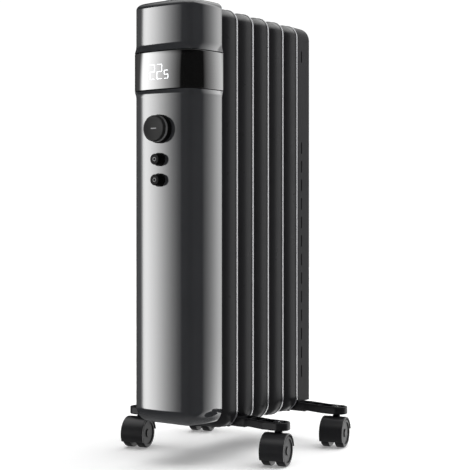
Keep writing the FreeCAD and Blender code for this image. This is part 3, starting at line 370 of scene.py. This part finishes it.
# ---- control housing shells -------------------------------------------------------------------------------
def case_arcs():
    """Centre of the corner arc and the angles where it meets the front's arc and the side's arc."""
    front_y = CASE_FRONT + CASE_FRONT_RADIUS
    side_x = CASE_HALF_WIDTH - CASE_SIDE_RADIUS
    to_front = CASE_FRONT_RADIUS - CASE_CORNER
    to_side = CASE_SIDE_RADIUS - CASE_CORNER
    dx, dy = -side_x, front_y - CASE_REAR
    span = math.hypot(dx, dy)
    along = (to_side ** 2 - to_front ** 2 + span ** 2) / (2 * span)
    across = math.sqrt(to_side ** 2 - along ** 2)
    x = side_x + (along * dx + across * dy) / span
    y = CASE_REAR + (along * dy - across * dx) / span
    return x, y, math.atan2(x, front_y - y), math.atan2(x - side_x, CASE_REAR - y)


CORNER_X, CORNER_Y, FRONT_TURN, SIDE_TURN = case_arcs()
FRONT_STEPS, CORNER_STEPS, SIDE_STEPS, BACK_STEPS = 20, 40, 14, 10


def case_ring(z, offset, scale=1.0):
    """The housing's outline at one height, from the right end of its flat back round the front."""
    half = []
    for k in range(SIDE_STEPS):
        turn = math.pi / 2 + (SIDE_TURN - math.pi / 2) * k / SIDE_STEPS
        radius = CASE_SIDE_RADIUS + offset
        half.append((CASE_HALF_WIDTH - CASE_SIDE_RADIUS + radius * math.sin(turn),
                     CASE_REAR - radius * math.cos(turn)))
    for k in range(CORNER_STEPS):
        turn = SIDE_TURN + (FRONT_TURN - SIDE_TURN) * k / CORNER_STEPS
        radius = CASE_CORNER + offset
        half.append((CORNER_X + radius * math.sin(turn), CORNER_Y - radius * math.cos(turn)))
    for k in range(FRONT_STEPS):
        turn = FRONT_TURN * (1 - k / FRONT_STEPS)
        radius = CASE_FRONT_RADIUS + offset
        half.append((radius * math.sin(turn), CASE_FRONT + CASE_FRONT_RADIUS - radius * math.cos(turn)))
    middle = (0.0, CASE_FRONT - offset)
    plan = half + [middle] + [(-x, y) for x, y in reversed(half)]
    width = CASE_HALF_WIDTH + offset
    plan += [(width * (2 * k / BACK_STEPS - 1), CASE_REAR) for k in range(1, BACK_STEPS)]
    return [(x * scale, CASE_REAR + (y - CASE_REAR) * scale, z) for x, y in plan]


def flare_rings(neck, edge, offset, steps=14):
    """Rings from the neck to the edge beside the band, over which the shell swells out to the band."""
    rings = []
    for k in range(steps + 1):
        share = k / steps
        swell = 1 - math.cos(math.pi / 2 * share)
        rings.append(case_ring(neck + (edge - neck) * share, offset + BAND_PROUD * swell))
    return rings


def end_rings(z_start, z_end, offset, round_in, steps=18):
    """Rings of a rounded end, which shrink along a quarter ellipse from z_start to z_end."""
    rings = []
    for k in range(steps + 1):
        turn = math.pi / 2 * k / steps
        inset = round_in * (1 - math.cos(turn))
        z = z_start + (z_end - z_start) * math.sin(turn)
        rings.append(case_ring(z, offset, 1.0 - inset / CASE_HALF_WIDTH))
    return rings


def mouth_cutter():
    points = rounded_rectangle(PLATE_LOW[0] - PLATE_GAP, PLATE_HIGH[0] + PLATE_GAP, PLATE_LOW[2] - PLATE_GAP,
                               PLATE_HIGH[2] + PLATE_GAP, PLATE_TOP_CORNER, PLATE_BOTTOM_CORNER)
    return slab("mouth", points, CASE_REAR - 2 * CASE_WALL, CASE_REAR + CASE_WALL)


def lip_cutter():
    """Cuts the shallow arch in the middle of the bottom edge."""
    radius = (LIP_ARCH_HALF ** 2 + LIP_ARCH_RISE ** 2) / (2 * LIP_ARCH_RISE)
    widest = math.asin(LIP_ARCH_HALF / radius)
    points = []
    for k in range(LIP_ARCH_STEPS + 1):
        turn = widest * (1 - 2 * k / LIP_ARCH_STEPS)
        sag = radius * (1 - math.cos(turn))
        points.append((radius * math.sin(turn), CASE_BOTTOM + LIP_ARCH_RISE - sag))
    points += [(-LIP_ARCH_HALF, CASE_BOTTOM - CASE_WALL), (LIP_ARCH_HALF, CASE_BOTTOM - CASE_WALL)]
    return slab("lip", points, CASE_FRONT - CASE_WALL, CASE_REAR - 5 * CASE_WALL)


def lower_shell():
    neck = HOUSING_TOP - HOUSING_FLARE
    shoulder = CASE_BOTTOM + CASE_ROUND_UP
    outside = end_rings(shoulder, CASE_BOTTOM, 0.0, CASE_ROUND_IN)[::-1]
    outside += flare_rings(neck, HOUSING_TOP, 0.0)
    inside = flare_rings(neck, HOUSING_TOP, -CASE_WALL)[::-1]
    inside += end_rings(shoulder, CASE_BOTTOM + CASE_WALL, -CASE_WALL, CASE_ROUND_IN)
    made = piece("lower_shell", *stack(outside + inside), "housing_gloss", "housing_gloss")
    carve(made, [mouth_cutter(), lip_cutter()])
    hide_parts("lower_housing")


def well_ring(z, grow, steps=8):
    points = rounded_rectangle(-WELL_HALF_WIDTH - grow, WELL_HALF_WIDTH + grow, WELL_FRONT - grow,
                               WELL_REAR + grow, WELL_CORNER + grow, WELL_CORNER + grow, steps)
    return [(x, y, z) for x, y in points]


def well_tub(steps=8):
    """Open tub under the carry handle."""
    rim = CASE_TOP + WELL_RIM_PROUD
    low = CASE_TOP - WELL_DEPTH
    wall = WELL_WALL - WELL_CLEAR
    rings = [well_ring(low - WELL_WALL, wall), well_ring(rim - WELL_RIM_EDGE, wall)]
    rings += [well_ring(rim, wall - WELL_RIM_EDGE), well_ring(rim, WELL_RIM_EDGE)]
    rings.append(well_ring(rim - WELL_RIM_EDGE, 0.0))
    for k in range(steps + 1):
        turn = math.pi / 2 * k / steps
        z = low + WELL_FLOOR_ROUND * (1 - math.sin(turn))
        rings.append(well_ring(z, -WELL_FLOOR_ROUND * (1 - math.cos(turn))))
    return stack(rings)


def cap_shell():
    neck = CAP_BOTTOM + CAP_FLARE
    shoulder = CASE_TOP - CAP_ROUND_DOWN
    outside = flare_rings(neck, CAP_BOTTOM, 0.0)[::-1]
    outside += end_rings(shoulder, CASE_TOP, 0.0, CAP_ROUND_IN)
    inside = flare_rings(neck, CAP_BOTTOM, -CASE_WALL)[::-1]
    inside += end_rings(shoulder, CASE_TOP - CASE_WALL, -CASE_WALL, CAP_ROUND_IN)
    made = piece("cap_shell", *stack(outside[::-1] + inside), "housing_gloss", "housing_gloss")
    hole = stack([well_ring(z, WELL_WALL) for z in (CASE_TOP - WELL_DEPTH / 2, CASE_TOP + WELL_DEPTH)])
    carve(made, [mouth_cutter(), piece("hole", *hole, "component_dark")])
    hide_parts("top_cap")
    piece("handle_well", *well_tub(), "housing_gloss", "housing_gloss")


def band_shell():
    """Polished band with rounded edges, open at the back like the shells beside it."""
    rings = [case_ring(BAND_BOTTOM, BAND_PROUD - BAND_WALL)]
    bend = []
    for k in range(BAND_EDGE_STEPS + 1):
        turn = math.pi / 2 * k / BAND_EDGE_STEPS
        bend.append((BAND_EDGE * (1 - math.cos(turn)), BAND_PROUD - BAND_EDGE * (1 - math.sin(turn))))
    rings += [case_ring(BAND_BOTTOM + rise, offset) for rise, offset in bend]
    rings += [case_ring(BAND_TOP - rise, offset) for rise, offset in reversed(bend)]
    rings.append(case_ring(BAND_TOP, BAND_PROUD - BAND_WALL))
    made = piece("band_shell", *stack(rings, closed=True), "band_black", "band_black")
    carve(made, [mouth_cutter()])
    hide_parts("display_band")


lower_shell()
cap_shell()
band_shell()


# ---- display ----------------------------------------------------------------------------------------------
DIGITS_LOW, DIGITS_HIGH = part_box("display_digits")
DIGIT_STROKE = 0.75 * MM
DIGIT_PROUD = 0.15 * MM
DIGIT_TIP = 0.3               # share of the bar's tip that it keeps clear of its neighbours
DIGIT_WIDTH = 0.26            # shares of the whole figure's width
SECOND_DIGIT_PLACE = 0.385
SMALL_DIGIT_PLACE = 0.77
SMALL_DIGIT_NARROW = 0.75     # of a large digit's width
SMALL_DIGIT_LOW = 0.56        # of a large digit's height
SEGMENTS = {"2": "abged", "5": "afgcd"}


def band_front(x):
    """Y of the band's polished face at a place across it."""
    radius = CASE_FRONT_RADIUS + BAND_PROUD
    return CASE_FRONT - BAND_PROUD + radius - math.sqrt(radius ** 2 - x ** 2)


def bar(x0, z0, x1, z1):
    """One lit bar between two points, pointed at both ends, that follows the band's curve."""
    along = Vector((x1 - x0, z1 - z0)).normalized()
    across = Vector((-along.y, along.x)) * (DIGIT_STROKE / 2)
    tip = along * (DIGIT_STROKE / 2)
    a, b = Vector((x0, z0)) + tip * DIGIT_TIP, Vector((x1, z1)) - tip * DIGIT_TIP
    outline = [a, a + tip + across, b - tip + across, b, b - tip - across, a + tip - across]
    rings = []
    for depth in (-DIGIT_PROUD, DIGIT_PROUD):
        rings.append([(p.x, band_front(p.x) + depth, p.y) for p in outline])
    return stack(rings)


def figure(digit, x, z, width, height):
    half = height / 2
    ends = {"a": (x, z + height, x + width, z + height), "g": (x, z + half, x + width, z + half),
            "d": (x, z, x + width, z), "f": (x, z + half, x, z + height),
            "b": (x + width, z + half, x + width, z + height), "e": (x, z, x, z + half),
            "c": (x + width, z, x + width, z + half)}
    return [bar(*ends[letter]) for letter in SEGMENTS[digit]]


def merged(parts):
    vertices, faces = [], []
    for part_vertices, part_faces in parts:
        start = len(vertices)
        vertices += part_vertices
        faces += [tuple(start + k for k in face) for face in part_faces]
    return vertices, faces


def display_figures():
    width, height = DIGITS_HIGH[0] - DIGITS_LOW[0], DIGITS_HIGH[2] - DIGITS_LOW[2]
    inset = DIGIT_STROKE / 2
    x, z = DIGITS_LOW[0] + inset, DIGITS_LOW[2] + inset
    tall, wide = height - 2 * inset, width * DIGIT_WIDTH
    bars = figure("2", x, z, wide, tall)
    bars += figure("2", x + width * SECOND_DIGIT_PLACE, z, wide, tall)
    bars += figure("5", x + width * SMALL_DIGIT_PLACE, z, wide * SMALL_DIGIT_NARROW, tall * SMALL_DIGIT_LOW)
    made = piece("display_figures", *merged(bars), "display_light", "display_light")
    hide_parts("display_digits")


display_figures()


# ---- marks on the controls --------------------------------------------------------------------------------
MARK_PROUD = 0.06 * MM        # the button marks, in front of the button's face
MARK_SUNK = 0.1 * MM          # and behind it
RING_MARK_RADIUS = 2.6 * MM
RING_MARK_STROKE = 0.7 * MM
KNOB_DISH_DEPTH = 0.7 * MM
KNOB_MARK_HALF = 4.6 * MM
KNOB_MARK_RISE = 0.75 * MM
KNOB_MARK_PROUD = 0.15 * MM
SLEEVE_START = 4.6 * MM       # behind the knob's face
SLEEVE_CLEAR = 1.3 * MM       # stays out of the collar when the knob is pushed
SLEEVE_PROUD = 0.12 * MM
SLEEVE_EDGE = 0.3 * MM
SLEEVE_STEPS = 96


def lathe(profile, centre_x, centre_z, steps=48):
    """Rings turned about an axis along Y from (radius, y) pairs."""
    rings = []
    for radius, y in profile:
        ring = []
        for k in range(steps):
            turn = 2 * math.pi * k / steps
            ring.append((centre_x + radius * math.cos(turn), y, centre_z + radius * math.sin(turn)))
        rings.append(ring)
    return rings


def button_mark(node):
    """A plain printed ring on a push button's face, which moves with the button."""
    low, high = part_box(node)
    z = (low[2] + high[2]) / 2
    front, back = low[1] - MARK_PROUD, low[1] + MARK_SUNK
    inner = RING_MARK_RADIUS - RING_MARK_STROKE
    profile = [(RING_MARK_RADIUS, back), (RING_MARK_RADIUS, front), (inner, front), (inner, back)]
    made = piece(f"{node}_mark", *stack(lathe(profile, 0.0, z), closed=True), "mark_grey")
    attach(made, node)


def knob_highlight_sleeve():
    """A sleeve round the rear half of the knob's grip, which moves with it, in a pale grey that paints the
    highlight on the knob's side.
    """
    low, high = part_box("knob")
    z = (low[2] + high[2]) / 2
    radius = (high[0] - low[0]) / 2
    start, end = low[1] + SLEEVE_START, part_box("knob_collar")[0][1] - SLEEVE_CLEAR
    sunk, proud = radius - SLEEVE_EDGE, radius + SLEEVE_PROUD
    profile = [(sunk, start), (proud, start + SLEEVE_EDGE), (proud, end - SLEEVE_EDGE), (sunk, end)]
    # the pale grey sleeve paints the highlight on the knob's side
    made = piece("knob_highlight_sleeve", *stack(lathe(profile, 0.0, z, SLEEVE_STEPS), closed=True), "grip_grey")
    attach(made, "knob")


def knob_mark():
    """A plain printed bar across the middle of the knob's dished face."""
    low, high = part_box("knob")
    z = (low[2] + high[2]) / 2
    y = low[1] + KNOB_DISH_DEPTH
    end_round = KNOB_MARK_RISE * 0.98
    points = rounded_rectangle(-KNOB_MARK_HALF, KNOB_MARK_HALF, z - KNOB_MARK_RISE, z + KNOB_MARK_RISE,
                               end_round, end_round, 6)
    rings = [[(x, at, h) for x, h in points] for at in (y - KNOB_MARK_PROUD, y + MARK_SUNK)]
    made = piece("knob_mark", *stack(rings), "mark_grey")
    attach(made, "knob")


materials["mark_grey"] = surface("mark_grey", (0.16, 0.16, 0.165), 0.45, grain=2000.0, bump=0.05)
button_mark("mode_button")
button_mark("power_button")
knob_mark()
knob_highlight_sleeve()


# ---- fins' rolled beads -----------------------------------------------------------------------------------
def bead(node):
    """The rolled seam round the rear edge of a fin, in a paler grey than the fin's enamel that is a painted
    highlight.
    """
    low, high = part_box(node)
    section = rounded_rectangle(-BEAD_WIDTH / 2, BEAD_WIDTH / 2, -BEAD_THICK / 2, BEAD_THICK / 2,
                                BEAD_EDGE, BEAD_EDGE, 4)
    y = high[1] - BEAD_SETBACK
    corners = [(high[0] - FIN_TOP_CORNER, high[2] - FIN_TOP_CORNER, FIN_TOP_CORNER, 0.0),
               (low[0] + FIN_TOP_CORNER, high[2] - FIN_TOP_CORNER, FIN_TOP_CORNER, 90.0),
               (low[0] + FIN_BOTTOM_CORNER, low[2] + FIN_BOTTOM_CORNER, FIN_BOTTOM_CORNER, 180.0),
               (high[0] - FIN_BOTTOM_CORNER, low[2] + FIN_BOTTOM_CORNER, FIN_BOTTOM_CORNER, 270.0)]
    rings = []
    for x, z, radius, start in corners:
        for k in range(BEAD_CORNER_STEPS + 1):
            turn = math.radians(start + 90.0 * k / BEAD_CORNER_STEPS)
            ring = []
            for across, proud in section:
                out = radius - BEAD_INSET + proud
                ring.append((x + out * math.cos(turn), y + across, z + out * math.sin(turn)))
            rings.append(ring)
    piece(f"{node}_bead", *stack(rings, closed=True), "fin_bead", "fin_enamel", sharp=60.0)


for fin_node in BEAD_FINS:
    bead(fin_node)


# ---- stage ------------------------------------------------------------------------------------------------
FLOOR_HALF = 6.0
FLOOR_GLOW = 0.22


def floor():
    half = FLOOR_HALF
    mesh = bpy.data.meshes.new("floor")
    mesh.from_pydata([(-half, -half, 0), (half, -half, 0), (half, half, 0), (-half, half, 0)], [],
                     [(0, 1, 2, 3)])
    plane = bpy.data.objects.new("floor", mesh)
    scene.collection.objects.link(plane)
    material, n, shader = blank("floor")
    n.join(n.tint(n.noise(3.0), (0.80, 0.80, 0.80), (0.82, 0.82, 0.82)), shader.inputs["Base Color"])
    shader.inputs["Roughness"].default_value = 0.32
    shader.inputs["Specular IOR Level"].default_value = 0.3
    shader.inputs["Emission Color"].default_value = (1.0, 1.0, 1.0, 1.0)
    shader.inputs["Emission Strength"].default_value = FLOOR_GLOW
    mesh.materials.append(material)
    plane.visible_glossy = False


floor()

# ---- light: a soft box at the front left, a white wall on the right and behind, a soft ceiling ------------
# Azimuths are degrees from the front towards the right; the levels are the radiance seen that way. Rises are
# degrees above the horizon.
SOFTBOX = [(-180.0, 0.05), (-146.0, 0.02), (-110.0, 0.12), (-72.0, 0.40), (-54.0, 0.7), (-52.7, 5.0),
           (-51.6, 13.0), (-49.4, 15.0), (-46.8, 14.3), (-42.0, 11.9), (-37.0, 8.5), (-32.4, 5.4),
           (-28.0, 2.9), (-24.0, 1.1), (-22.5, 0.7), (-21.5, 0.05)]
WALL = [(111.5, 0.0), (113.5, 0.5), (117.0, 1.2), (122.0, 2.1), (127.0, 3.2), (132.0, 4.4), (138.0, 5.5),
        (142.0, 5.9), (145.5, 2.6), (152.0, 2.0), (180.0, 2.0)]


SOFTBOX_RISES = (13.0, 16.0)    # full up to the first rise either way, gone at the second
WALL_TOP = (45.0, 60.0)
WALL_FOOT = (-24.0, -44.0)
WALL_BEHIND = (-150.0, -165.0)  # it goes on past the back, round to here
WALL_BEHIND_LEVEL = 2.0
WALL_LOW = (-6.0, -14.0)        # brighter below this, where the floor lights it
WALL_LOW_GAIN = 0.6
CEILING = (34.0, 72.0)
CEILING_LEVEL = 3.2
UNDER = (-20.0, -60.0)
UNDER_LEVEL = 0.5
BASE_LEVEL = 0.015
BACKDROP_LEVEL = 1.05           # what the camera itself sees


def level_curve(n, turn, levels):
    """Radiance by azimuth, as a colour ramp scaled to its brightest level."""
    first, last = levels[0][0], levels[-1][0]
    peak = max(level for azimuth, level in levels)
    spread = n.add("ShaderNodeMapRange")
    n.join(turn, spread.inputs["Value"])
    spread.inputs["From Min"].default_value = first
    spread.inputs["From Max"].default_value = last
    ramp = n.add("ShaderNodeValToRGB")
    n.join(spread.outputs["Result"], ramp.inputs["Fac"])
    stops = ramp.color_ramp.elements
    for place, (azimuth, level) in enumerate(levels):
        if place == 0:
            stop = stops[0]
        elif place == len(levels) - 1:
            stop = stops[len(stops) - 1]
        else:
            stop = stops.new((azimuth - first) / (last - first))
        stop.color = (level / peak, level / peak, level / peak, 1.0)
    return n.math("MULTIPLY", ramp.outputs["Color"], peak)


def world():
    studio = bpy.data.worlds.new("studio")
    studio.use_nodes = True
    studio.node_tree.nodes.clear()
    n = Nodes(studio.node_tree)
    way = n.add("ShaderNodeSeparateXYZ")
    n.join(n.add("ShaderNodeTexCoord").outputs["Generated"], way.inputs[0])
    to_degrees = 180.0 / math.pi
    forward = n.math("MULTIPLY", way.outputs["Y"], -1.0)
    turn = n.math("MULTIPLY", n.math("ARCTAN2", way.outputs["X"], forward), to_degrees)
    rise = n.math("MULTIPLY", n.math("ARCSINE", way.outputs["Z"]), to_degrees)
    full, gone = SOFTBOX_RISES
    softbox = n.math("MULTIPLY", n.step(rise, -gone, -full), n.step(rise, gone, full))
    softbox = n.math("MULTIPLY", level_curve(n, turn, SOFTBOX), softbox)
    wall = n.math("ADD", level_curve(n, turn, WALL),
                  n.math("MULTIPLY", n.step(turn, *WALL_BEHIND), WALL_BEHIND_LEVEL))
    low_gain = n.math("ADD", n.math("MULTIPLY", n.step(rise, *WALL_LOW), WALL_LOW_GAIN), 1.0)
    reach = n.math("MULTIPLY", n.step(rise, *reversed(WALL_FOOT)), n.step(rise, *reversed(WALL_TOP)))
    wall = n.math("MULTIPLY", n.math("MULTIPLY", wall, low_gain), reach)
    ceiling = n.math("MULTIPLY", n.step(rise, *CEILING), CEILING_LEVEL)
    under = n.math("MULTIPLY", n.step(rise, *UNDER), UNDER_LEVEL)
    total = n.math("ADD", n.math("ADD", softbox, wall), n.math("ADD", ceiling, under))
    total = n.math("ADD", total, BASE_LEVEL)
    mix = n.add("ShaderNodeMix", data_type="FLOAT")
    n.join(n.add("ShaderNodeLightPath").outputs["Is Camera Ray"], mix.inputs["Factor"])
    n.join(total, mix.inputs["A"])
    mix.inputs["B"].default_value = BACKDROP_LEVEL
    background = n.add("ShaderNodeBackground")
    n.join(mix.outputs["Result"], background.inputs["Color"])
    out = n.add("ShaderNodeOutputWorld")
    n.join(background.outputs[0], out.inputs["Surface"])
    scene.world = studio


world()

camera_data = bpy.data.cameras.new("camera")
camera_data.lens = CAMERA_LENS
camera_data.sensor_width = 36.0
camera_data.shift_x, camera_data.shift_y = CAMERA_SHIFT
camera = bpy.data.objects.new("camera", camera_data)
camera.location = CAMERA_PLACE
camera.rotation_euler = (math.radians(90.0), 0.0, math.radians(CAMERA_TURN))
scene.collection.objects.link(camera)
scene.camera = camera
scene.view_settings.view_transform = "Standard"
